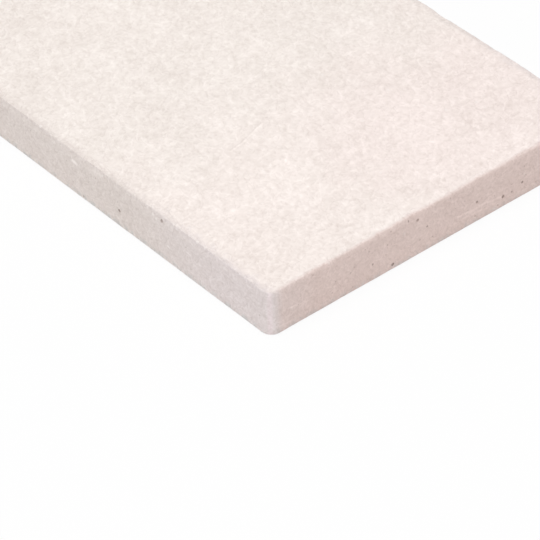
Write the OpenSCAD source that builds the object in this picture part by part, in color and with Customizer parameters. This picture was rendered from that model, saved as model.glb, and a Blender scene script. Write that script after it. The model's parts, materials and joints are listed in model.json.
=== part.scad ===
// Gypsum-fibre roof board, cut piece: one homogeneous pressed panel with no facer,
// square-sawn sides, rounded upright corners and eased arrises.
// The origin is at the centre of the underside, +Y along the piece, +Z up through the board.

/* [Board] */
// Length of the piece, along Y
board_l = 152.4; // [50.8:25.4:2438.4]
// Width of the piece, along X
board_w = 101.6; // [50.8:25.4:1219.2]
// Thickness of the board: the four that it is pressed in
board_t = 12.7; // [6.35, 9.525, 12.7, 15.875]

/* [Edges] */
// Plan radius of the four upright corners
corner_r = 3; // [2:0.5:20]
// Radius of the worn arris round the top face
top_arris_r = 1; // [0.2:0.1:1.8]
// Radius of the crisper arris round the underside
under_arris_r = 0.5; // [0.2:0.1:1.8]

/* [Hidden] */
$fn = 96;

// Length of each straight side between its two rounded corners
straight_w = board_w - 2 * corner_r;
straight_l = board_l - 2 * corner_r;
// Distance from the board's centre lines to the axes of its rounded corners
corner_x = straight_w / 2;
corner_y = straight_l / 2;

// Cross-section of the board over the width `span`, standing on y = 0: the four arrises are eased,
// the upper two to top_arris_r and the lower two to under_arris_r.
module eased_section(span) {
    translate([-span / 2, under_arris_r]) square([span, board_t - top_arris_r - under_arris_r]);
    translate([-span / 2 + top_arris_r, board_t / 2]) square([span - 2 * top_arris_r, board_t / 2]);
    translate([-span / 2 + under_arris_r, 0]) square([span - 2 * under_arris_r, board_t / 2]);
    for (side = [-1, 1]) {
        translate([side * (span / 2 - top_arris_r), board_t - top_arris_r]) circle(r = top_arris_r);
        translate([side * (span / 2 - under_arris_r), under_arris_r]) circle(r = under_arris_r);
    }
}

// Band of the board that runs straight along Y between the rounded corners,
// and carries the arrises of both long sides.
module lengthwise_band() {
    rotate([90, 0, 0])
        linear_extrude(height = straight_l, center = true) eased_section(board_w);
}

// The same band along X, with the arrises of both ends.
module crosswise_band() {
    rotate([90, 0, 90])
        linear_extrude(height = straight_w, center = true) eased_section(board_l);
}

// Upright rounded corner about its own axis: the section's eased edge turned round it.
module rounded_corner() {
    rotate_extrude()
        intersection() {
            eased_section(2 * corner_r);
            square([corner_r, board_t]);
        }
}

// The whole board.
module roof_board() {
    color("linen")
        union() {
            lengthwise_band();
            crosswise_band();
            for (x = [-corner_x, corner_x], y = [-corner_y, corner_y])
                translate([x, y, 0]) rounded_corner();
        }
}

roof_board();
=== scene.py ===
"""A cut piece of gypsum-fibre roof board, lying flat on a pale studio floor.

The board is modelled as one skin. Its eased edge is drawn once as a section, turned round the
four upright corners and carried along the sides between them, and the faces are closed with a
fine grid. The ends are then rubbed, wear is pressed into the arrises, sides and top face, the
upper arris is knocked back in places, and air holes are opened in the sawn sides. The finish
holds what is finer than that: grain, fibres, strands and flecks, and painted light: shade at
the sawn sides' foot and in the air holes, a highlight round the upright corners and some warm
light on the ends and the near part of the face.
"""

import json
import logging
import math
import random
from collections.abc import Callable, Mapping, Sequence
from dataclasses import dataclass, field
from enum import Enum
from typing import Any

import bpy
import numpy as np
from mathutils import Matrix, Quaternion, Vector

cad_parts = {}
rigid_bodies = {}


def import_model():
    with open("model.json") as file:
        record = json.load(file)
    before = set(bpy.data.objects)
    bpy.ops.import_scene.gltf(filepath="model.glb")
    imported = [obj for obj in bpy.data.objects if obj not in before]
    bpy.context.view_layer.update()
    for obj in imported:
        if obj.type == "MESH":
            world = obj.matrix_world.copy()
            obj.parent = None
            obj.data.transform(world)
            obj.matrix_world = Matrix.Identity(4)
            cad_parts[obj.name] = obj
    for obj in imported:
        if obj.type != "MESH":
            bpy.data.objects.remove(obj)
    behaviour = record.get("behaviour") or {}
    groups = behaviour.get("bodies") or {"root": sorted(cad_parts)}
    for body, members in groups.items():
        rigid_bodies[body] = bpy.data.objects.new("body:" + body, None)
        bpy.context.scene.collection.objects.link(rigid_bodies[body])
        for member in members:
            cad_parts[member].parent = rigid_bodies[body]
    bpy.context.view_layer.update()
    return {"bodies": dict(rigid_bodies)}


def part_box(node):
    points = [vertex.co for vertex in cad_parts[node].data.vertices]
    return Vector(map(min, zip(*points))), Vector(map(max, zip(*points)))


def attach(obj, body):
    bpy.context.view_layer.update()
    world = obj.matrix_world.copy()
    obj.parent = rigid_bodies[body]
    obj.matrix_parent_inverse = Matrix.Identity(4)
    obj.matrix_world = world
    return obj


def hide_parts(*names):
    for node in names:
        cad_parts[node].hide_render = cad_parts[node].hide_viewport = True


log = logging.getLogger("roof_board")

MM = 0.001
NEAR = 1e-6
SEED = 23
# Vertex attribute that holds the painted shade in the air holes.
PIT_SHADE = "pit_shade"
WEIGHT_STEPS = 50
WEAR_OCTAVES = 2

Point = tuple[float, float, float]
Colour = tuple[float, float, float, float]
Pair = tuple[float, float]
CornerTest = Callable[[np.ndarray], np.ndarray]
EdgeTest = Callable[[np.ndarray, np.ndarray], np.ndarray]


# ---------------------------------------------------------------- shader graph


class Signal:
    """A value, colour or vector on its way through a finish.

    Arithmetic on values adds the Math nodes that it needs to the finish's graph.
    """

    def __init__(self, graph: "NodeGraph", socket: bpy.types.NodeSocket) -> None:
        """Keeps the graph that the signal runs in, and the socket that gives it."""
        self.graph = graph
        self.socket = socket

    def _maths(self, operation: str, *terms: "Feed") -> "Signal":
        """The result of a Math node with that operation on those terms."""
        return self.graph.signal(0, "ShaderNodeMath", {"operation": operation}, dict(enumerate(terms)))

    def __add__(self, other: "Feed") -> "Signal":
        """The sum of the two."""
        return self._maths("ADD", self, other)

    def __sub__(self, other: "Feed") -> "Signal":
        """This less the other."""
        return self._maths("SUBTRACT", self, other)

    def __rsub__(self, other: "Feed") -> "Signal":
        """The other less this."""
        return self._maths("SUBTRACT", other, self)

    def __mul__(self, other: "Feed") -> "Signal":
        """The product of the two."""
        return self._maths("MULTIPLY", self, other)

    __radd__ = __add__
    __rmul__ = __mul__

    def size(self) -> "Signal":
        """The value without its sign."""
        return self._maths("ABSOLUTE", self)

    def at_most(self, other: "Feed") -> "Signal":
        """The smaller of the two."""
        return self._maths("MINIMUM", self, other)

    def at_least(self, other: "Feed") -> "Signal":
        """The larger of the two."""
        return self._maths("MAXIMUM", self, other)

    def between(self, first: float, second: float) -> "Signal":
        """A value that goes from the first to the second as this goes from 0 to 1."""
        return self * (second - first) + first

    def rise(self, start: float, end: float) -> "Signal":
        """A smooth step.

        Args:
            start: Value at which the step leaves 0.
            end: Value at which it reaches 1, above or below start.

        Returns:
            The step, from 0 to 1.
        """
        low, high = min(start, end), max(start, end)
        to_low, to_high = (0.0, 1.0) if start < end else (1.0, 0.0)
        return self.graph.signal(
            "Result",
            "ShaderNodeMapRange",
            {"interpolation_type": "SMOOTHSTEP"},
            {"Value": self, "From Min": low, "From Max": high, "To Min": to_low, "To Max": to_high},
        )


Feed = Signal | float | Sequence[float]


class NodeGraph:
    """The node tree of one material or world, and the few ways in which it is added to."""

    def __init__(self, tree: bpy.types.NodeTree) -> None:
        """Clears the tree for its own nodes."""
        self.tree = tree
        tree.nodes.clear()

    def add(
        self,
        kind: str,
        settings: Mapping[str, Any] | None = None,
        feeds: Mapping[str | int, Feed] | None = None,
    ) -> bpy.types.Node:
        """Adds a node.

        Args:
            kind: The node's type.
            settings: Its settings, which are set before its sockets.
            feeds: What each input takes, by name or number: a signal or a constant.

        Returns:
            The node.
        """
        node = self.tree.nodes.new(kind)
        for name, value in (settings or {}).items():
            setattr(node, name, value)
        for name, value in (feeds or {}).items():
            socket = node.inputs[name]
            if isinstance(value, Signal):
                self.tree.links.new(value.socket, socket)
            else:
                socket.default_value = value
        return node

    def signal(
        self,
        output: str | int,
        kind: str,
        settings: Mapping[str, Any] | None = None,
        feeds: Mapping[str | int, Feed] | None = None,
    ) -> Signal:
        """Adds a node, as add() does, and returns the named output."""
        return Signal(self, self.add(kind, settings, feeds).outputs[output])

    def vector(self, operation: str, *terms: Feed) -> Signal:
        """The result of a Vector Math node with that operation on those terms."""
        return self.signal(0, "ShaderNodeVectorMath", {"operation": operation}, dict(enumerate(terms)))

    def measure(self, operation: str, *terms: Feed) -> Signal:
        """The value that a Vector Math node with that operation gives for those terms."""
        return self.signal(
            "Value", "ShaderNodeVectorMath", {"operation": operation}, dict(enumerate(terms))
        )

    def scaled(self, vector: Feed, factor: Feed) -> Signal:
        """The vector, its length multiplied by the factor."""
        return self.signal(
            0, "ShaderNodeVectorMath", {"operation": "SCALE"}, {"Vector": vector, "Scale": factor}
        )

    def split(self, vector: Feed) -> tuple[Signal, Signal, Signal]:
        """Takes a vector apart.

        Args:
            vector: The vector, or a colour.

        Returns:
            Its three parts.
        """
        parts = self.add("ShaderNodeSeparateXYZ", None, {"Vector": vector})
        x, y, z = (Signal(self, parts.outputs[name]) for name in "XYZ")
        return x, y, z

    def blend(self, share: Feed, first: Feed, second: Feed, how: str = "MIX") -> Signal:
        """Mixes two colours.

        Args:
            share: How much of the second shows, from 0 to 1.
            first: The colour at 0.
            second: The colour at 1.
            how: The blend type.

        Returns:
            The mixed colour.
        """
        return self.signal(
            2,
            "ShaderNodeMix",
            {"data_type": "RGBA", "blend_type": how},
            {0: share, 6: first, 7: second},
        )


@dataclass(frozen=True)
class Grain:
    """One layer of noise in a finish.

    Its length is the size of its features, in millimetres, and its detail and roughness say how
    many finer octaves it has and how strong. The shift keeps layers apart, and the strength is
    how far it swings what it works on.
    """

    length: float
    detail: float = 2.0
    roughness: float = 0.5
    shift: Point = (0.0, 0.0, 0.0)
    strength: float = 1.0

    def lay(self, graph: NodeGraph, place: Signal, output: str = "Fac") -> Signal:
        """Adds the layer.

        Args:
            graph: The finish's graph.
            place: Position in millimetres.
            output: The noise node's output that is wanted.

        Returns:
            The noise, about 0.5 on average.
        """
        moved = graph.vector("ADD", place, self.shift)
        return graph.signal(
            output,
            "ShaderNodeTexNoise",
            {"noise_dimensions": "3D"},
            {
                "Vector": moved,
                "Scale": 1.0 / self.length,
                "Detail": self.detail,
                "Roughness": self.roughness,
            },
        )

    def swing(self, noise: Signal) -> Signal:
        """The layer's own noise, about 0 and at its strength."""
        return (noise - 0.5) * self.strength


@dataclass(frozen=True)
class Strand:
    """One long pale fibre that lies in a surface.

    Its bends, with both ends, are in millimetres, and so is its width, which is counted from
    where it fades out on one side to the other. Its strength is how much paler it is.
    """

    bends: tuple[Point, ...]
    width: float
    strength: float = 0.2

    def lay(self, graph: NodeGraph, place: Signal) -> Signal:
        """Adds the strand.

        Args:
            graph: The finish's graph.
            place: Position in millimetres.

        Returns:
            The strength along the middle of the strand, and 0 off it.
        """
        gaps = [self._gap(graph, place, *ends) for ends in zip(self.bends, self.bends[1:])]
        nearest = gaps[0]
        for gap in gaps[1:]:
            nearest = nearest.at_most(gap)
        return nearest.rise(self.width * 0.5, 0.0) * self.strength

    @staticmethod
    def _gap(graph: NodeGraph, place: Signal, start: Point, end: Point) -> Signal:
        """Measures how far the straight line between two bends is.

        Args:
            graph: The finish's graph.
            place: Position in millimetres.
            start: The first bend.
            end: The second.

        Returns:
            The distance, in millimetres.
        """
        span = Vector(end) - Vector(start)
        from_start = graph.vector("SUBTRACT", place, start)
        share = graph.measure("DOT_PRODUCT", from_start, span / span.length_squared)
        reached = graph.scaled(span, share.at_least(0.0).at_most(1.0))
        return graph.measure("DISTANCE", from_start, reached)


# ---------------------------------------------------------------- finishes


@dataclass(frozen=True)
class Spot:
    """A point of the board's surface, as the finish sees it, in millimetres.

    It lies across to the right of the board's middle and along beyond it, away from the near
    end. The last three are how far in it is from the nearer long side, end and pressed face.
    """

    place: Signal
    across: Signal
    along: Signal
    height: Signal
    from_side: Signal
    from_end: Signal
    from_face: Signal


@dataclass(frozen=True)
class FaceColour:
    """The pressed face: cream, paler and a little warmer towards the near end and pinker at the
    right of it, partly its own tint and partly painted warm light.

    Each fade is where one colour turns to the next, in millimetres from the board's middle, and
    the cloud makes it uneven.
    """

    cream: Colour = (0.896, 0.822, 0.772, 1.0)
    # The near end of the face: partly its own tint, partly painted warm light.
    near_tint: Colour = (0.922, 0.833, 0.787, 1.0)
    # The near right of the face, pinker: partly its own tint, partly painted warm light.
    blush: Colour = (0.914, 0.809, 0.768, 1.0)
    near_tint_fade: Pair = (0.0, -50.0)
    blush_fade: Pair = (-15.0, 10.0)
    cloud: Grain = Grain(16.0, 2.0, 0.6, (12.0, 3.0, 0.0), 40.0)

    def lay(self, graph: NodeGraph, spot: Spot) -> Signal:
        """Adds the colour.

        Args:
            graph: The finish's graph.
            spot: The point of the surface.

        Returns:
            The face's colour there.
        """
        cloud = self.cloud.swing(self.cloud.lay(graph, spot.place))
        # Partly the face's own tint drift and partly painted warm light, towards the near end.
        near = (spot.along + cloud).rise(*self.near_tint_fade)
        right = (spot.across + cloud).rise(*self.blush_fade)
        return graph.blend(near, self.cream, graph.blend(right, self.near_tint, self.blush))


@dataclass(frozen=True)
class SawnColour:
    """The sawn sides: greyer along the board, warmer across its ends, darker at their foot.

    Most fades are in millimetres: along the board for near_fade, in from an end for end_fade,
    in from its corners for the two warm_fades, round an upright corner for corner_fade and
    above the floor for foot_fade. shade_patch_fade is where the patches' noise turns from thin
    to thick. The shares say how much of a colour shows: foot_share where the patches are thin
    and where they are thick, and foot_ends on the long sides and on the ends. The darker foot is
    painted contact shade, the ends' warmth is partly their own and partly painted warm light, and
    the paler band round an upright corner is a painted highlight.
    """

    long_side: Colour = (0.800, 0.722, 0.681, 1.0)
    near_side: Colour = (0.806, 0.726, 0.711, 1.0)
    # The ends' colour: partly their own warmer cut, partly painted warm light.
    end: Colour = (0.790, 0.642, 0.596, 1.0)
    # Painted highlight: the paler, pinker colour of the band round each upright corner, where light from
    # both sides meets.
    corner_highlight: Colour = (0.880, 0.755, 0.762, 1.0)
    # Painted contact shade: the darker, greyer colour at the foot of a sawn side, where the floor shades
    # it.
    foot_shade: Colour = (0.625, 0.615, 0.605, 1.0)
    near_fade: Pair = (-20.0, -65.0)
    end_fade: Pair = (3.0, 0.6)
    warm_fades: tuple[Pair, Pair] = ((1.0, 4.5), (6.0, 16.0))
    warm_shares: Pair = (0.8, 0.2)
    corner_fade: Pair = (1.8, 1.0)
    corner_share: float = 0.65
    foot_fade: Pair = (2.2, 0.4)
    foot_share: Pair = (0.04, 0.82)
    foot_ends: Pair = (1.0, 0.5)
    # Noise that breaks the painted foot shade into patches.
    shade_patches: Grain = Grain(1.5, 1.0, 0.5, (1.0, 1.0, 6.0))
    shade_patch_fade: Pair = (0.42, 0.62)

    def lay(self, graph: NodeGraph, spot: Spot) -> Signal:
        """Adds the colour.

        Args:
            graph: The finish's graph.
            spot: The point of the surface.

        Returns:
            The side's colour there.
        """
        by_length = graph.blend(spot.along.rise(*self.near_fade), self.long_side, self.near_side)
        # Warms the ends, partly with their own colour and partly with painted warm light.
        ends = spot.from_end.rise(*self.end_fade)
        first, second = (
            spot.from_side.rise(*fade) * share for fade, share in zip(self.warm_fades, self.warm_shares)
        )
        warmed = graph.blend(ends * (first + second), by_length, self.end)
        # Painted highlight round the upright corners.
        corner = spot.from_side.at_least(spot.from_end).rise(*self.corner_fade)
        by_side = graph.blend(corner * self.corner_share, warmed, self.corner_highlight)
        # Painted contact shade along the foot, in patches, stronger on the long sides than on the ends.
        shade_patches = self.shade_patches.lay(graph, spot.place).rise(*self.shade_patch_fade)
        foot_shade = spot.height.rise(*self.foot_fade) * shade_patches.between(*self.foot_share)
        return graph.blend(foot_shade * ends.between(*self.foot_ends), by_side, self.foot_shade)


@dataclass(frozen=True)
class SkinEdge:
    """Where the pressed skin ends: it is worn off the arrises, unevenly.

    by_side and by_end say how much strength the skin gains for each millimetre in from a long
    side or an end, and how strong it starts. strength_fade and depth_fade say where it shows,
    by its strength and by its depth in millimetres, and side_fade and side_loss wear it thinner
    along a long side. The nibble makes it uneven, and nibble_down of that works on the depth.
    """

    nibble: Grain = Grain(1.8, 2.0, 0.5, (7.0, 1.0, 19.0), 1.8)
    nibble_down: float = 2.0 / 3.0
    # by_side's slow rise is partly wear and partly painted shade: it keeps the face darker for about 3 mm
    # in from a long side, where the key lamp lights the upper arris's slope more.
    by_side: Pair = (0.34, 0.28)
    by_end: Pair = (0.80, 0.15)
    strength_fade: Pair = (0.05, 1.35)
    depth_fade: Pair = (0.8, 0.3)
    side_fade: Pair = (1.0, 0.4)
    side_loss: float = 0.1

    def lay(self, graph: NodeGraph, spot: Spot) -> Signal:
        """Adds the edge.

        Args:
            graph: The finish's graph.
            spot: The point of the surface.

        Returns:
            1 on the two pressed faces, fading to 0 over their arrises.
        """
        nibble = self.nibble.swing(self.nibble.lay(graph, spot.place))
        in_side = spot.from_side * self.by_side[0] + self.by_side[1]
        in_end = spot.from_end * self.by_end[0] + self.by_end[1]
        strength = in_side.at_most(in_end) + nibble
        loss = spot.from_side.rise(*self.side_fade) * self.side_loss
        depth = spot.from_face + nibble * self.nibble_down + loss
        return strength.rise(*self.strength_fade) * depth.rise(*self.depth_fade)


@dataclass(frozen=True)
class ShortFibres:
    """Short curled fibres, thin lines that run where a layer of noise passes its middle.

    Curls of several sizes lie over each other, from the shortest up by a fixed growth, each set
    apart from the last, in millimetres. line_fade is how far from the middle of the noise a
    line fades out, for a curl of 1 mm. Noise of break_length, in curls, breaks the lines up.
    """

    shift: float
    tone: float
    layers: int = 4
    shortest: float = 2.0
    growth: float = 1.3
    apart: float = 9.0
    softness: float = 0.4
    line_fade: Pair = (0.12, 0.01)
    break_length: float = 0.7
    break_fade: Pair = (0.48, 0.60)

    def lay(self, graph: NodeGraph, place: Signal) -> Signal:
        """Adds the fibres.

        Args:
            graph: The finish's graph.
            place: Position in millimetres.

        Returns:
            1 on a fibre and 0 between them.
        """
        total: Feed = 0.0
        for number in range(self.layers):
            aside = self.shift + self.apart * number
            length = self.shortest + self.growth * number
            curl = Grain(length, 1.0, self.softness, (aside, 3.0, 7.0)).lay(graph, place)
            broken = Grain(length * self.break_length, 0.0, 0.5, (4.0, aside, 1.0)).lay(graph, place)
            line = (curl - 0.5).size().rise(*(width / length for width in self.line_fade))
            total = (line * broken.rise(*self.break_fade)).at_least(total)
        return total


@dataclass(frozen=True)
class Lint:
    """Pale flecks of paper, each in its own cell, where chance lets a cell have one.

    A cell is that many millimetres wide, and size_fade is in cells. The two shares say how much
    of a fleck's colour shows on a sawn side and on a face.
    """

    colour: Colour = (0.960, 0.900, 0.870, 1.0)
    cell: float = 2.5
    size_fade: Pair = (0.22, 0.10)
    chance_fade: Pair = (0.80, 0.90)
    share: Pair = (0.6, 0.3)

    def lay(self, graph: NodeGraph, place: Signal) -> Signal:
        """Adds the flecks.

        Args:
            graph: The finish's graph.
            place: Position in millimetres.

        Returns:
            1 on a fleck and 0 elsewhere.
        """
        cells = graph.add("ShaderNodeTexVoronoi", None, {"Vector": place, "Scale": 1.0 / self.cell})
        from_middle = Signal(graph, cells.outputs["Distance"])
        chance, _, _ = graph.split(Signal(graph, cells.outputs["Color"]))
        return from_middle.rise(*self.size_fade) * chance.rise(*self.chance_fade)


@dataclass(frozen=True)
class GypsumFibreFinish:
    """The board's own material: pressed gypsum with cellulose fibre, right through.

    Lengths are in millimetres. The colour is multiplied by dull where the tone is 0 and by pale
    where it is 1. The texture is drawn out by run along the direction that lie turns to, and
    off_line takes the noise out of line with the board. It is finer by cut_fineness on the
    sawn sides, which start cut_fade from a face. Where a share is a pair, it is for a sawn side
    and for a face. relief_share is how high a fibre stands, against the grain. The fray bends
    the strands off their line, and a strand's dark side is set off by strand_shadow.
    """

    half_width: float
    half_length: float
    thickness: float
    face: FaceColour = FaceColour()
    sides: SawnColour = SawnColour()
    skin: SkinEdge = SkinEdge()
    # Painted shade: the dark colour inside the air holes stands for the shade in them.
    pit: Colour = (0.265, 0.185, 0.155, 1.0)
    dull: Colour = (0.720, 0.683, 0.658, 1.0)
    pale: Colour = (1.280, 1.317, 1.342, 1.0)
    roughness: float = 0.88
    gloss: float = 0.25
    lie: Point = (0.0, math.radians(39.0), math.radians(50.0))
    run: float = 1.4
    off_line: Point = (0.5, 0.3, 0.7)
    cut_fineness: float = 0.24
    cut_fade: Pair = (0.30, 0.32)
    grain: Grain = Grain(0.78, 2.0, 0.5, (0.0, 0.0, 0.0), 0.40)
    flock: Grain = Grain(1.50, 1.0, 0.5, (41.0, 13.0, 5.0), 0.28)
    patch: Grain = Grain(5.0, 2.0, 0.5, (3.0, 29.0, 11.0), 0.135)
    drift: Grain = Grain(16.0, 1.0, 0.5, (8.0, 2.0, 31.0), 0.19)
    fibres: ShortFibres = ShortFibres(0.0, 0.130)
    gaps: ShortFibres = ShortFibres(50.0, 0.125)
    fine_share: Pair = (0.96, 0.82)
    slow_share: Pair = (0.35, 1.0)
    relief_share: float = 0.4
    bump: float = 0.04
    lint: Lint = Lint()
    strands: tuple[Strand, ...] = (
        Strand(((-10.9, -26.8, 12.7), (-19.4, -29.6, 12.7), (-23.3, -30.2, 12.7)), 0.9, 0.12),
        Strand(((-28.4, -34.4, 12.7), (-32.8, -36.2, 12.7), (-34.9, -38.6, 12.7)), 0.9, 0.05),
        Strand(((21.0, 30.0, 12.7), (15.2, 34.6, 12.7), (12.4, 41.0, 12.7)), 0.9, 0.06),
        Strand(((6.2, -76.2, 4.7), (11.0, -76.2, 4.1), (15.0, -76.2, 4.3), (20.0, -76.2, 3.4)), 1.2),
        Strand(((8.0, -76.2, 3.4), (13.2, -76.2, 2.8), (18.0, -76.2, 2.5)), 1.0, 0.15),
        Strand(((-45.4, -76.2, 5.9), (-43.0, -76.2, 5.6), (-39.5, -76.2, 5.0)), 0.9),
        Strand(((-47.8, -76.2, 2.4), (-45.6, -76.2, 2.0)), 0.8, 0.15),
        Strand(((-50.8, -6.5, 9.4), (-50.8, -5.2, 9.7)), 1.8, 0.50),
        Strand(((-50.8, -40.7, 4.9), (-50.8, -40.2, 5.0)), 0.8, 0.35),
        Strand(((-50.8, -48.3, 7.4), (-50.8, -47.7, 7.4)), 0.8, 0.30),
        Strand(((-7.7, -76.2, 11.5), (-7.0, -76.2, 11.6)), 0.8, 0.35),
    )
    fray: Grain = Grain(1.6, 1.0, 0.5, (2.0, 17.0, 9.0), 0.6)
    strand_shadow: Point = (0.1, 0.45, 0.0)
    strand_shade: float = 1.1

    def make(self) -> bpy.types.Material:
        """Builds the material.

        Returns:
            The material, with its whole graph.
        """
        material = bpy.data.materials.new("gypsum_fibre")
        material.use_nodes = True
        graph = NodeGraph(material.node_tree)
        spot = self._locate(graph)
        turned = self._lay_fibre(graph, spot)
        grain = self.grain.lay(graph, turned)
        flock = self.flock.lay(graph, turned)
        fibres = self.fibres.lay(graph, turned)
        gaps = self.gaps.lay(graph, turned)
        skin = self.skin.lay(graph, spot)
        fine = self.grain.swing(grain) + fibres * self.fibres.tone - gaps * self.gaps.tone
        slow = self._slow_tone(graph, turned, flock)
        mottle = fine * skin.between(*self.fine_share) + slow * skin.between(*self.slow_share)
        tone = mottle + self._strand_tone(graph, spot, skin) + 0.5
        plain = graph.blend(skin, self.sides.lay(graph, spot), self.face.lay(graph, spot))
        shaded = graph.blend(1.0, plain, graph.blend(tone, self.dull, self.pale), "MULTIPLY")
        fleck = self.lint.lay(graph, spot.place) * skin.between(*self.lint.share)
        flecked = graph.blend(fleck, shaded, self.lint.colour)
        # The painted shade of the air holes, as marked on the mesh.
        pit_shade = graph.signal("Fac", "ShaderNodeAttribute", {"attribute_name": PIT_SHADE})
        relief = grain + flock + (fibres - gaps) * self.relief_share
        bump = graph.signal(
            "Normal", "ShaderNodeBump", None, {"Distance": self.bump * MM, "Height": relief}
        )
        shader = graph.signal(
            "BSDF",
            "ShaderNodeBsdfPrincipled",
            None,
            {
                "Base Color": graph.blend(pit_shade, flecked, self.pit),
                "Roughness": self.roughness,
                "Specular IOR Level": self.gloss,
                "Normal": bump,
            },
        )
        graph.add("ShaderNodeOutputMaterial", None, {"Surface": shader})
        return material

    def _locate(self, graph: NodeGraph) -> Spot:
        """Finds where a point of the surface lies.

        Args:
            graph: The finish's graph.

        Returns:
            The point.
        """
        place = graph.scaled(graph.signal("Object", "ShaderNodeTexCoord"), 1.0 / MM)
        across, along, height = graph.split(place)
        from_side = self.half_width - across.size()
        from_end = self.half_length - along.size()
        from_face = (self.thickness - height).at_most(height)
        return Spot(place, across, along, height, from_side, from_end, from_face)

    def _lay_fibre(self, graph: NodeGraph, spot: Spot) -> Signal:
        """Draws the texture out one way, and makes it finer on the sawn sides.

        Args:
            graph: The finish's graph.
            spot: The point of the surface.

        Returns:
            Where the noise is read for that point, in millimetres.
        """
        matted = graph.signal(
            0,
            "ShaderNodeMapping",
            {"vector_type": "TEXTURE"},
            {"Vector": spot.place, "Rotation": self.lie, "Scale": (self.run, 1.0, 1.0)},
        )
        finer = graph.scaled(matted, spot.from_face.rise(*self.cut_fade) * self.cut_fineness + 1.0)
        return graph.signal(0, "ShaderNodeMapping", None, {"Vector": finer, "Rotation": self.off_line})

    def _slow_tone(self, graph: NodeGraph, turned: Signal, flock: Signal) -> Signal:
        """Varies the tone from patch to patch.

        Args:
            graph: The finish's graph.
            turned: Where the noise is read.
            flock: The finest layer of noise that counts as a patch.

        Returns:
            About 0, lower where the board is dull and higher where it is pale.
        """
        patch = self.patch.swing(self.patch.lay(graph, turned))
        drift = self.drift.swing(self.drift.lay(graph, turned))
        return self.flock.swing(flock) + patch + drift

    def _strand_tone(self, graph: NodeGraph, spot: Spot, skin: Signal) -> Signal:
        """Lays the long fibres, pale, and on a face with a dark side as well.

        Args:
            graph: The finish's graph.
            spot: The point of the surface.
            skin: 1 on the pressed faces.

        Returns:
            How much paler they make the surface.
        """
        beside = graph.vector("SUBTRACT", spot.place, self.strand_shadow)
        shadow = self._lay_strands(graph, beside) * skin * self.strand_shade
        return self._lay_strands(graph, spot.place) - shadow

    def _lay_strands(self, graph: NodeGraph, place: Signal) -> Signal:
        """Lays the long fibres, a little frayed.

        Args:
            graph: The finish's graph.
            place: Position in millimetres.

        Returns:
            The strength of the fibre there, and 0 off them all.
        """
        fray = graph.vector("SUBTRACT", self.fray.lay(graph, place, "Color"), (0.5, 0.5, 0.5))
        frayed = graph.vector("ADD", place, graph.scaled(fray, self.fray.strength))
        total: Feed = 0.0
        for strand in self.strands:
            total = strand.lay(graph, frayed).at_least(total)
        return total


@dataclass(frozen=True)
class StudioFloorFinish:
    """The floor: white paper that keeps a faint shadow.

    Attributes:
        paper: Its colour.
        glow_share: How much of it is shown as plain white.
    """

    paper: Colour = (0.93, 0.93, 0.93, 1.0)
    glow_share: float = 0.90

    def make(self) -> bpy.types.Material:
        """Builds the material.

        Returns:
            The material: paper to the light, and mostly plain white to the eye.
        """
        material = bpy.data.materials.new("studio_paper")
        material.use_nodes = True
        graph = NodeGraph(material.node_tree)
        paper = graph.signal("BSDF", "ShaderNodeBsdfDiffuse", None, {"Color": self.paper})
        glow = graph.signal("Emission", "ShaderNodeEmission", None, {"Color": (1.0, 1.0, 1.0, 1.0)})
        shown = seen_directly(graph) * self.glow_share
        mixed = graph.signal(0, "ShaderNodeMixShader", None, {0: shown, 1: paper, 2: glow})
        graph.add("ShaderNodeOutputMaterial", None, {"Surface": mixed})
        return material


def seen_directly(graph: NodeGraph) -> Signal:
    """Tells what is seen from what only lights.

    Args:
        graph: The graph that it is for.

    Returns:
        1 for what is seen straight, in a gloss or through glass, and 0 otherwise.
    """
    path = graph.add("ShaderNodeLightPath")
    straight, gloss, glass = (
        Signal(graph, path.outputs[name])
        for name in ("Is Camera Ray", "Is Glossy Ray", "Is Transmission Ray")
    )
    return straight.at_least(gloss).at_least(glass)


# ---------------------------------------------------------------- the studio


@dataclass(frozen=True)
class Softbox:
    """One soft lamp, aimed at the board.

    Its direction is from the board towards the lamp. Its level is the light that it gives a
    surface facing it, where 1 is full studio level. Its width and its distance are in metres.
    """

    name: str
    direction: Point
    level: float
    size: float
    tint: Point = (1.0, 1.0, 1.0)
    distance: float = 1.5

    def hang(self, aim: Vector) -> bpy.types.Object:
        """Hangs the lamp.

        Args:
            aim: The point that it faces.

        Returns:
            The lamp.
        """
        towards = Vector(self.direction).normalized()
        bpy.ops.object.light_add(type="AREA", location=aim + towards * self.distance)
        lamp = bpy.context.object
        lamp.name = self.name
        lamp.rotation_mode = "QUATERNION"
        lamp.rotation_quaternion = (-towards).to_track_quat("-Z", "Y")
        lamp.data.shape = "SQUARE"
        lamp.data.size = self.size
        lamp.data.color = self.tint
        lamp.data.energy = self.level * (math.pi * self.distance) ** 2
        return lamp


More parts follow.
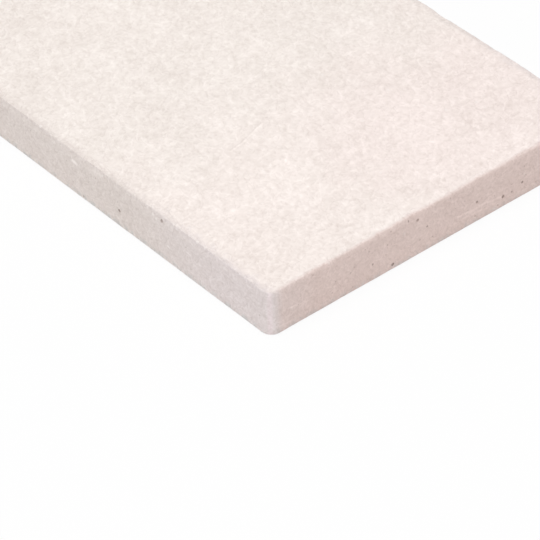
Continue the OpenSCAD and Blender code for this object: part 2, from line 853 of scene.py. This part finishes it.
@dataclass(frozen=True)
class Viewpoint:
    """The camera: a long lens that looks down on the board's near corner.

    The lens is in millimetres on a 36 mm sensor, and the angles are in degrees, the heading
    from +X towards +Y. The distance is to the point that it aims at on the top face, which is
    set in from the near corner's two sides by the inset, all in metres.
    """

    lens: float = 238.58
    heading: float = 50.465
    dip: float = 39.377
    roll: float = -1.354
    distance: float = 0.7986
    inset: tuple[float, float] = (0.00604, 0.00674)

    def set_up(self, low: Vector, high: Vector) -> bpy.types.Object:
        """Makes the camera and puts it in place.

        Args:
            low: The board's lowest corner.
            high: Its highest corner.

        Returns:
            The camera.
        """
        turn, down = math.radians(self.heading), math.radians(self.dip)
        forward = Vector(
            (math.cos(turn) * math.cos(down), math.sin(turn) * math.cos(down), -math.sin(down))
        )
        aim = Vector((low.x + self.inset[0], low.y + self.inset[1], high.z))
        bpy.ops.object.camera_add(location=aim - forward * self.distance)
        camera = bpy.context.object
        camera.name = "camera"
        camera.rotation_mode = "QUATERNION"
        lean = Quaternion((0.0, 0.0, 1.0), math.radians(self.roll))
        camera.rotation_quaternion = forward.to_track_quat("-Z", "Y") @ lean
        camera.data.lens = self.lens
        camera.data.clip_start = self.distance / 10
        camera.data.clip_end = self.distance * 100
        bpy.context.scene.camera = camera
        return camera


@dataclass(frozen=True)
class Studio:
    """Floor, lamps and surrounding light. The floor's width is in metres."""

    floor_size: float = 6.0
    ambient: float = 0.50
    lamps: tuple[Softbox, ...] = (
        Softbox("key_lamp", (-0.25, -0.10, 1.0), 0.62, 1.2),
        Softbox("end_lamp", (-0.10, -1.0, 0.25), 0.02, 1.0),
    )

    def set_up(self, low: Vector, high: Vector) -> None:
        """Builds the studio round the board.

        Args:
            low: The board's lowest corner.
            high: Its highest corner.
        """
        self._lay_floor(low.z)
        self._light_room()
        for lamp in self.lamps:
            lamp.hang((low + high) / 2)
        bpy.context.scene.view_settings.view_transform = "Standard"

    def _lay_floor(self, level: float) -> None:
        """Lays the paper floor.

        Args:
            level: Its height.
        """
        bpy.ops.mesh.primitive_plane_add(size=self.floor_size, location=(0.0, 0.0, level))
        floor = bpy.context.object
        floor.name = "studio_floor"
        floor.data.materials.append(StudioFloorFinish().make())

    def _light_room(self) -> None:
        """Lights the room evenly, and shows it white."""
        world = bpy.data.worlds.new("studio_room")
        world.use_nodes = True
        bpy.context.scene.world = world
        graph = NodeGraph(world.node_tree)
        white = (1.0, 1.0, 1.0, 1.0)
        lit = graph.signal(0, "ShaderNodeBackground", None, {"Color": white, "Strength": self.ambient})
        shown = graph.signal(0, "ShaderNodeBackground", None, {"Color": white, "Strength": 1.0})
        mixed = graph.signal(
            0, "ShaderNodeMixShader", None, {0: seen_directly(graph), 1: lit, 2: shown}
        )
        graph.add("ShaderNodeOutputWorld", None, {"Surface": mixed})


# ---------------------------------------------------------------- the bench


class Workpiece:
    """A mesh on the bench, whose corners and edges are picked by their place."""

    def __init__(self, item: bpy.types.Object) -> None:
        """Takes the object in hand."""
        self.item = item

    @property
    def mesh(self) -> bpy.types.Mesh:
        """The object's mesh."""
        return self.item.data

    def corners(self) -> np.ndarray:
        """Reads the places of the mesh's vertices, in object mode.

        Returns:
            The places, one row each.
        """
        flat = np.empty(len(self.mesh.vertices) * 3, np.float32)
        self.mesh.vertices.foreach_get("co", flat)
        return flat.reshape(-1, 3)

    def edge_ends(self) -> np.ndarray:
        """Reads which vertices the edges join, in object mode.

        Returns:
            Two vertex numbers for each edge.
        """
        flat = np.empty(len(self.mesh.edges) * 2, np.int32)
        self.mesh.edges.foreach_get("vertices", flat)
        return flat.reshape(-1, 2)

    def pick_corners(self, test: CornerTest) -> None:
        """Selects vertices by their place, and ends in edit mode.

        Args:
            test: Says for rows of places which are wanted.
        """
        self._clear("VERT")
        self.mesh.vertices.foreach_set("select", test(self.corners()))
        bpy.ops.object.mode_set(mode="EDIT")

    def pick_edges(self, test: EdgeTest) -> None:
        """Selects edges by the places of their ends, and ends in edit mode.

        Args:
            test: Says for rows of first and second ends which edges are wanted.
        """
        self._clear("EDGE")
        places, ends = self.corners(), self.edge_ends()
        wanted = test(places[ends[:, 0]], places[ends[:, 1]])
        touched = np.zeros(len(places), bool)
        touched[ends[wanted].ravel()] = True
        self.mesh.vertices.foreach_set("select", touched)
        self.mesh.edges.foreach_set("select", wanted)
        bpy.ops.object.mode_set(mode="EDIT")

    def pick_nearest(self, spots: Sequence[Vector]) -> None:
        """Selects the vertex nearest to each place, and ends in edit mode.

        Args:
            spots: The places.
        """

        def nearest(corners: np.ndarray) -> np.ndarray:
            """Marks the row nearest to each place.

            Args:
                corners: Places of the vertices.

            Returns:
                True for the rows that are wanted.
            """
            wanted = np.zeros(len(corners), bool)
            for spot in spots:
                wanted[np.linalg.norm(corners - np.array(spot), axis=1).argmin()] = True
            return wanted

        self.pick_corners(nearest)

    @staticmethod
    def _clear(kind: str) -> None:
        """Clears the selection, and ends in object mode.

        Args:
            kind: The select mode that edit mode is left in.
        """
        bpy.ops.object.mode_set(mode="EDIT")
        bpy.ops.mesh.select_mode(type=kind)
        bpy.ops.mesh.select_all(action="DESELECT")
        bpy.ops.object.mode_set(mode="OBJECT")

    def mark(self, name: str, value: float) -> None:
        """Writes a value on the selected vertices, in edit mode.

        Args:
            name: The vertex attribute that takes it.
            value: The value.
        """
        bpy.ops.object.mode_set(mode="OBJECT")
        values = np.empty(len(self.mesh.vertices), np.float32)
        chosen = np.empty(len(self.mesh.vertices), bool)
        self.mesh.attributes[name].data.foreach_get("value", values)
        self.mesh.vertices.foreach_get("select", chosen)
        values[chosen] = value
        self.mesh.attributes[name].data.foreach_set("value", values)
        bpy.ops.object.mode_set(mode="EDIT")

    def weld(self) -> None:
        """Merges the vertices that lie on each other and turns all faces outwards."""
        bpy.ops.object.mode_set(mode="EDIT")
        bpy.ops.mesh.select_all(action="SELECT")
        bpy.ops.mesh.remove_doubles(threshold=NEAR)
        bpy.ops.mesh.normals_make_consistent(inside=False)
        bpy.ops.object.mode_set(mode="OBJECT")

    def weigh(self, zone: "Zone", weights: np.ndarray) -> None:
        """Says how far each vertex belongs to a zone.

        Args:
            zone: The zone.
            weights: One weight for each vertex, from 0 to 1.
        """
        group = self.item.vertex_groups.new(name=zone.value)
        steps = np.round(np.clip(weights, 0.0, 1.0) * WEIGHT_STEPS) / WEIGHT_STEPS
        for weight in np.unique(steps):
            if weight > 0:
                group.add(np.flatnonzero(steps == weight).tolist(), float(weight), "REPLACE")


# ---------------------------------------------------------------- the board


class Face(Enum):
    """The two pressed faces."""

    UNDERSIDE = 0
    TOP = 1


class Zone(Enum):
    """What is worn or thinned by itself, each by the name of its vertex group."""

    ARRIS = "arris"
    FACE = "face"
    SIDE = "side"
    UNDERSIDE = "underside"


class Side(Enum):
    """The four sawn sides, each by the way that it faces."""

    NEAR_END = (0, -1)
    FAR_END = (0, 1)
    LEFT = (-1, 0)
    RIGHT = (1, 0)

    def spot(self, low: Vector, high: Vector, along: float, height: float) -> Vector:
        """Finds a place on the side.

        Args:
            low: The board's lowest corner.
            high: Its highest corner.
            along: Metres along the side, from the end of it that is nearer to the low corner.
            height: Metres above the floor.

        Returns:
            The place.
        """
        x, y = self.value
        if x:
            return Vector((high.x * x, low.y + along, low.z + height))
        return Vector((low.x + along, high.y * y, low.z + height))


class Hole(Enum):
    """The sizes of air hole: the width of each in millimetres, and how much painted shade darkens it."""

    LARGE = (0.92, 0.58)
    MEDIUM = (0.76, 0.52)
    SMALL = (0.58, 0.46)
    PIN = (0.42, 0.27)

    @property
    def width(self) -> float:
        """Its width, in metres."""
        return self.value[0] * MM

    @property
    def shade(self) -> float:
        """How much painted shade darkens it, from 0 to 1."""
        return self.value[1]


@dataclass(frozen=True)
class Pit:
    """An air hole in a sawn side.

    Its place is in millimetres, along the side from the near left corner and above the floor.
    """

    side: Side
    along: float
    height: float
    hole: Hole


@dataclass(frozen=True)
class Knock:
    """A place where the upper arris has been knocked back.

    All in millimetres: its place along the side, how far it spreads and how deep it goes.
    """

    side: Side
    along: float
    reach: float
    depth: float


@dataclass(frozen=True)
class Wear:
    """One layer of wear or relief that is pressed into the board.

    Its features are `length` metres in size and go `depth` metres deep at most.
    """

    zone: Zone
    length: float
    depth: float
    contrast: float = 1.0

    def press(self, board: Workpiece, number: int) -> None:
        """Presses the layer into the board and fixes it there.

        Args:
            board: The board.
            number: The layer's number, for its name.
        """
        pattern = bpy.data.textures.new(f"wear_{number}", type="CLOUDS")
        pattern.noise_scale = self.length
        pattern.noise_depth = WEAR_OCTAVES
        pattern.contrast = self.contrast
        layer = board.item.modifiers.new(f"wear_{number}", "DISPLACE")
        layer.texture = pattern
        layer.texture_coords = "LOCAL"
        layer.vertex_group = self.zone.value
        layer.mid_level = 1.0
        layer.strength = self.depth
        bpy.context.view_layer.objects.active = board.item
        bpy.ops.object.modifier_apply(modifier=layer.name)


@dataclass
class RoofBoard:
    """The board: one pressed panel, sawn to size, with worn arrises.

    Lengths are in metres, but stray_heights are in millimetres. The steps are faces round a
    corner or an arris, and the pitch is that of the grid that carries the relief. The upper
    arris's wear reaches in over a face by roll_off, and down a long side or an end by
    side_lean or end_lean, and the handlings say how strong it is. The ends are rubbed rounder
    as far as `rubbed` from their upper edge. A knock goes down by knock_drop of what it goes
    in. A hole's wall leans in and goes deep by shares of its width, its rim is lip wide and
    darkened by a share of the hole's shade, and holes keep pit_gap pitches apart. Thinning is
    the share of the underside's faces that are kept.
    """

    low: Vector
    high: Vector
    corner_radius: float = 3.0 * MM
    top_arris: float = 0.68 * MM
    under_arris: float = 0.5 * MM
    corner_steps: int = 8
    arris_steps: int = 5
    pitch: float = 0.55 * MM
    roll_off: float = 2.5 * MM
    side_lean: float = 2.4 * MM
    end_lean: float = 1.3 * MM
    side_handling: float = 1.9
    end_handling: float = 1.3
    under_handling: float = 0.15
    rubbed: float = 1.2 * MM
    rub_passes: int = 4
    wear: tuple[Wear, ...] = (
        Wear(Zone.ARRIS, 11.0 * MM, 0.18 * MM, 1.7),
        Wear(Zone.ARRIS, 5.0 * MM, 0.18 * MM, 1.8),
        Wear(Zone.ARRIS, 2.4 * MM, 0.10 * MM, 1.6),
        Wear(Zone.ARRIS, 1.3 * MM, 0.06 * MM, 1.2),
        Wear(Zone.FACE, 14.0 * MM, 0.06 * MM),
        Wear(Zone.FACE, 2.4 * MM, 0.05 * MM),
        Wear(Zone.SIDE, 9.0 * MM, 0.10 * MM),
        Wear(Zone.SIDE, 1.8 * MM, 0.06 * MM),
    )
    knocks: tuple[Knock, ...] = (
        Knock(Side.LEFT, 40.0, 9.0, 0.45),
        Knock(Side.LEFT, 62.0, 6.0, 0.30),
        Knock(Side.LEFT, 106.0, 7.0, 0.30),
        Knock(Side.NEAR_END, 43.5, 5.0, 0.40),
        Knock(Side.NEAR_END, 64.0, 6.0, 0.35),
        Knock(Side.RIGHT, 52.0, 8.0, 0.12),
        Knock(Side.RIGHT, 118.0, 8.0, 0.30),
        Knock(Side.FAR_END, 38.0, 6.0, 0.25),
    )
    knock_drop: float = 0.6
    open_pits: tuple[Pit, ...] = (
        Pit(Side.NEAR_END, 37.0, 1.8, Hole.LARGE),
        Pit(Side.NEAR_END, 71.5, 3.35, Hole.LARGE),
        Pit(Side.NEAR_END, 77.25, 4.45, Hole.MEDIUM),
        Pit(Side.NEAR_END, 63.3, 5.85, Hole.MEDIUM),
        Pit(Side.NEAR_END, 44.5, 10.5, Hole.MEDIUM),
        Pit(Side.NEAR_END, 31.0, 5.1, Hole.SMALL),
        Pit(Side.NEAR_END, 42.0, 11.4, Hole.SMALL),
        Pit(Side.NEAR_END, 47.7, 7.15, Hole.SMALL),
        Pit(Side.NEAR_END, 74.0, 3.1, Hole.SMALL),
        Pit(Side.NEAR_END, 49.0, 3.2, Hole.PIN),
        Pit(Side.NEAR_END, 68.7, 4.8, Hole.PIN),
        Pit(Side.NEAR_END, 74.1, 5.6, Hole.PIN),
        Pit(Side.NEAR_END, 78.2, 9.0, Hole.PIN),
        Pit(Side.NEAR_END, 78.7, 5.8, Hole.PIN),
        Pit(Side.NEAR_END, 69.6, 1.4, Hole.PIN),
        Pit(Side.NEAR_END, 28.3, 10.4, Hole.PIN),
        Pit(Side.LEFT, 53.8, 4.75, Hole.LARGE),
        Pit(Side.LEFT, 38.3, 10.6, Hole.LARGE),
        Pit(Side.LEFT, 67.5, 1.3, Hole.SMALL),
        Pit(Side.LEFT, 54.2, 7.2, Hole.PIN),
        Pit(Side.LEFT, 29.0, 8.8, Hole.PIN),
        Pit(Side.RIGHT, 24.0, 5.0, Hole.LARGE),
        Pit(Side.RIGHT, 81.0, 8.5, Hole.MEDIUM),
        Pit(Side.FAR_END, 66.0, 4.0, Hole.MEDIUM),
    )
    stray_pits: int = 60
    stray_heights: Pair = (1.0, 11.5)
    pit_gap: float = 3.0
    pit_slope: float = 0.07
    pit_depth: float = 0.15
    rim_shade: float = 0.7
    round_hole: float = 0.086
    lip: float = 0.05 * MM
    thinning: float = 0.72
    chance: random.Random = field(default_factory=lambda: random.Random(SEED))

    @property
    def axis_x(self) -> float:
        """How far to the right of the middle the corners' axes stand."""
        return self.high.x - self.corner_radius

    @property
    def axis_y(self) -> float:
        """How far beyond the middle they stand."""
        return self.high.y - self.corner_radius

    @property
    def thickness(self) -> float:
        """The board's thickness."""
        return self.high.z - self.low.z

    def build(self) -> bpy.types.Object:
        """Models the board and dresses it.

        Returns:
            The finished board.
        """
        board = self._draw_section()
        self._carry_round(board)
        self._cut_grid(board)
        for face in Face:
            self._close_face(board, face)
        board.weld()
        self._mark_zones(board)
        self._rub_ends(board)
        for number, layer in enumerate(self.wear):
            layer.press(board, number)
        self._knock_arrises(board)
        self._open_pits(board)
        self._finish_mesh(board)
        board.mesh.materials.append(
            GypsumFibreFinish(self.high.x / MM, self.high.y / MM, self.thickness / MM).make()
        )
        return board.item

    def _draw_section(self) -> Workpiece:
        """Draws the eased edge as an open line, from the corner's axis out and back.

        Returns:
            The line, standing across the first corner.
        """
        centre = (self.axis_x + self.corner_radius / 2, self.axis_y, self.thickness / 2)
        bpy.ops.mesh.primitive_plane_add(
            size=self.corner_radius, location=centre, rotation=(math.pi / 2, 0.0, 0.0)
        )
        section = Workpiece(bpy.context.object)
        section.item.name = "roof_board_skin"
        bpy.ops.object.transform_apply(location=True, rotation=True, scale=True)
        bpy.ops.object.mode_set(mode="EDIT")
        bpy.ops.mesh.select_all(action="SELECT")
        stretch = (1.0, 1.0, self.thickness / self.corner_radius)
        bpy.ops.transform.resize(value=stretch, center_override=centre)
        for height, radius in ((self.thickness, self.top_arris), (0.0, self.under_arris)):
            section.pick_corners(
                lambda spot: (spot[:, 0] > self.high.x - NEAR) & (abs(spot[:, 2] - height) < NEAR)
            )
            bpy.ops.mesh.bevel(affect="VERTICES", offset=radius, segments=self.arris_steps, profile=0.5)
        bpy.ops.mesh.select_all(action="SELECT")
        bpy.ops.mesh.delete(type="ONLY_FACE")
        section.pick_edges(lambda a, b: np.maximum(a[:, 0], b[:, 0]) < self.axis_x + NEAR)
        bpy.ops.mesh.delete(type="EDGE")
        section.pick_edges(lambda a, b: abs(a[:, 2] - b[:, 2]) > self.thickness / 2)
        bpy.ops.mesh.subdivide(number_cuts=self._cuts(self.thickness - self.top_arris - self.under_arris))
        section.pick_edges(
            lambda a, b: (abs(a[:, 2] - b[:, 2]) < NEAR) & (abs(a[:, 0] - b[:, 0]) > self.top_arris)
        )
        bpy.ops.mesh.subdivide(number_cuts=self._cuts(self.corner_radius - self.under_arris))
        return section

    def _cuts(self, length: float) -> int:
        """Cuts that divide a length at about the board's pitch."""
        return round(length / self.pitch) - 1

    def _carry_round(self, board: Workpiece) -> None:
        """Turns the section round each corner and carries it along each side.

        Args:
            board: The section, in edit mode.
        """
        bpy.ops.mesh.select_all(action="SELECT")
        x, y = self.axis_x, self.axis_y
        route = (
            ((x, y), (-2 * x, 0.0, 0.0)),
            ((-x, y), (0.0, -2 * y, 0.0)),
            ((-x, -y), (2 * x, 0.0, 0.0)),
            ((x, -y), (0.0, 2 * y, 0.0)),
        )
        for (axis_x, axis_y), side in route:
            bpy.ops.mesh.spin(
                steps=self.corner_steps,
                angle=-math.pi / 2,
                center=(axis_x, axis_y, 0.0),
                axis=(0.0, 0.0, 1.0),
            )
            bpy.ops.mesh.extrude_region_move(TRANSFORM_OT_translate={"value": side})
        board.weld()

    def _cut_grid(self, board: Workpiece) -> None:
        """Cuts the four sides across at the board's pitch, first in quarters and then each quarter.

        Args:
            board: The ring of sides.
        """
        for axis, reach in enumerate((self.axis_x, self.axis_y)):
            quarter = reach / 2
            for length, cuts in ((4 * quarter, 3), (quarter, self._cuts(quarter))):
                board.pick_edges(
                    lambda a, b: (abs(a[:, axis] - b[:, axis]) > length - self.pitch)
                    & (abs(a[:, 2] - b[:, 2]) < NEAR)
                )
                bpy.ops.mesh.subdivide(number_cuts=cuts)
        bpy.ops.object.mode_set(mode="OBJECT")

    def _close_face(self, board: Workpiece, face: Face) -> None:
        """Bridges one pressed face from side to side with a grid.

        Args:
            board: The board, open at that face.
            face: The face to close.
        """
        height = self.low.z + face.value * self.thickness
        board.pick_edges(
            lambda a, b: (abs(a[:, 2] - height) < NEAR)
            & (abs(b[:, 2] - height) < NEAR)
            & (abs(abs(a[:, 0]) - self.axis_x) < NEAR)
            & (abs(a[:, 0] - b[:, 0]) < NEAR)
            & (np.maximum(abs(a[:, 1]), abs(b[:, 1])) < self.axis_y + NEAR)
        )
        columns = 4 * (self._cuts(self.axis_x / 2) + 1)
        bpy.ops.mesh.bridge_edge_loops(number_cuts=columns - 1, interpolation="LINEAR")
        board.weld()

    def _rub_ends(self, board: Workpiece) -> None:
        """Rubs the upper arris of the two ends rounder than that of the long sides.

        Args:
            board: The closed board.
        """
        board.pick_corners(
            lambda spot: (abs(spot[:, 1]) > self.high.y - self.rubbed)
            & (abs(spot[:, 0]) < self.axis_x)
            & (spot[:, 2] > self.high.z - self.rubbed)
        )
        bpy.ops.mesh.vertices_smooth(factor=0.5, repeat=self.rub_passes)
        bpy.ops.object.mode_set(mode="OBJECT")

    def _mark_zones(self, board: Workpiece) -> None:
        """Marks where each kind of wear reaches.

        Args:
            board: The closed board, not yet worn.
        """
        spot = board.corners()
        out_x = abs(spot[:, 0]) - self.axis_x
        out_y = abs(spot[:, 1]) - self.axis_y
        outside = np.hypot(np.maximum(out_x, 0.0), np.maximum(out_y, 0.0))
        inside = np.minimum(np.maximum(out_x, out_y), 0.0)
        from_side = self.corner_radius - outside - inside
        from_top = self.high.z - spot[:, 2]
        from_floor = spot[:, 2] - self.low.z
        end_share = np.clip(0.5 + (out_y - out_x) / self.corner_radius, 0.0, 1.0)
        lean = self.side_lean + (self.end_lean - self.side_lean) * end_share
        handling = self.side_handling + (self.end_handling - self.side_handling) * end_share
        side_fade = np.clip(1.0 - from_side / self.roll_off, 0.0, 1.0)
        top_fade = np.clip(1.0 - from_top / lean, 0.0, 1.0)
        floor_fade = np.clip(1.0 - from_floor / (2.0 * self.under_arris), 0.0, 1.0)
        edge_wear = top_fade * handling + floor_fade * self.under_handling
        board.weigh(Zone.ARRIS, side_fade * edge_wear)
        board.weigh(Zone.FACE, (from_top < NEAR).astype(float))
        board.weigh(Zone.UNDERSIDE, (from_floor < NEAR).astype(float))
        board.weigh(Zone.SIDE, np.clip(1.0 - from_side / (1.4 * self.top_arris), 0.0, 1.0))

    def _knock_arrises(self, board: Workpiece) -> None:
        """Pushes the upper arris back at each knock.

        Args:
            board: The worn board.
        """
        for knock in self.knocks:
            spot = knock.side.spot(self.low, self.high, knock.along * MM, self.thickness)
            board.pick_nearest([spot])
            x, y = knock.side.value
            bpy.ops.transform.translate(
                value=Vector((-x, -y, -self.knock_drop)) * knock.depth * MM,
                use_proportional_edit=True,
                proportional_edit_falloff="SMOOTH",
                proportional_size=knock.reach * MM,
            )
        bpy.ops.object.mode_set(mode="OBJECT")

    def _scatter_pits(self) -> list[Pit]:
        """Places the small pits that nothing else decides.

        Returns:
            The pits, over all four sides.
        """
        pits = []
        for _ in range(self.stray_pits):
            side = self.chance.choice(list(Side))
            length = 2 * (self.axis_y if side.value[0] else self.axis_x) / MM
            along = self.corner_radius / MM + self.chance.uniform(0.0, length)
            pits.append(Pit(side, along, self.chance.uniform(*self.stray_heights), Hole.PIN))
        return pits

    def _open_pits(self, board: Workpiece) -> None:
        """Opens the air holes in the sawn sides, and marks their painted shade for the finish.

        Args:
            board: The worn board.
        """
        pits: dict[Hole, list[Vector]] = {}
        taken: list[Vector] = []
        for pit in (*self.open_pits, *self._scatter_pits()):
            spot = pit.side.spot(self.low, self.high, pit.along * MM, pit.height * MM)
            if all((spot - other).length > self.pit_gap * self.pitch for other in taken):
                taken.append(spot)
                pits.setdefault(pit.hole, []).append(spot)
        board.mesh.attributes.new(PIT_SHADE, "FLOAT", "POINT")
        for hole, spots in pits.items():
            board.pick_nearest(spots)
            bpy.ops.mesh.bevel(
                affect="VERTICES",
                offset=hole.width / 2 + self.lip,
                segments=2,
                profile=self.round_hole,
            )
            # The rim and then, darker, the floor of each hole take painted shade.
            bpy.ops.mesh.inset(thickness=self.lip, depth=0.0)
            board.mark(PIT_SHADE, hole.shade * self.rim_shade)
            bpy.ops.mesh.inset(
                thickness=hole.width * self.pit_slope, depth=-hole.width * self.pit_depth
            )
            board.mark(PIT_SHADE, hole.shade)
        bpy.ops.object.mode_set(mode="OBJECT")

    def _finish_mesh(self, board: Workpiece) -> None:
        """Thins the underside, which is plain, shades the board smooth and sets it on the floor.

        Args:
            board: The board, with its wear and its air holes.
        """
        thin = board.item.modifiers.new("thin_underside", "DECIMATE")
        thin.ratio = self.thinning
        thin.vertex_group = Zone.UNDERSIDE.value
        bpy.context.view_layer.objects.active = board.item
        bpy.ops.object.modifier_apply(modifier=thin.name)
        bpy.ops.object.shade_smooth()
        board.pick_corners(lambda spot: spot[:, 2] < NEAR)
        bpy.ops.transform.resize(value=(1.0, 1.0, 0.0), center_override=(0.0, 0.0, 0.0))
        bpy.ops.object.mode_set(mode="OBJECT")


def main() -> None:
    """Builds the board and its studio, and reports each piece."""
    logging.basicConfig(level=logging.INFO, format="%(name)s: %(message)s")
    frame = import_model()
    bpy.ops.object.select_all(action="DESELECT")
    low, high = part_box("roof_board")
    Viewpoint().set_up(low, high)
    Studio().set_up(low, high)
    board = RoofBoard(low, high).build()
    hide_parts("roof_board")
    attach(board, next(iter(frame["bodies"])))
    log.info("%s: %d faces", board.name, len(board.data.polygons))


if __name__ == "__main__":
    main()
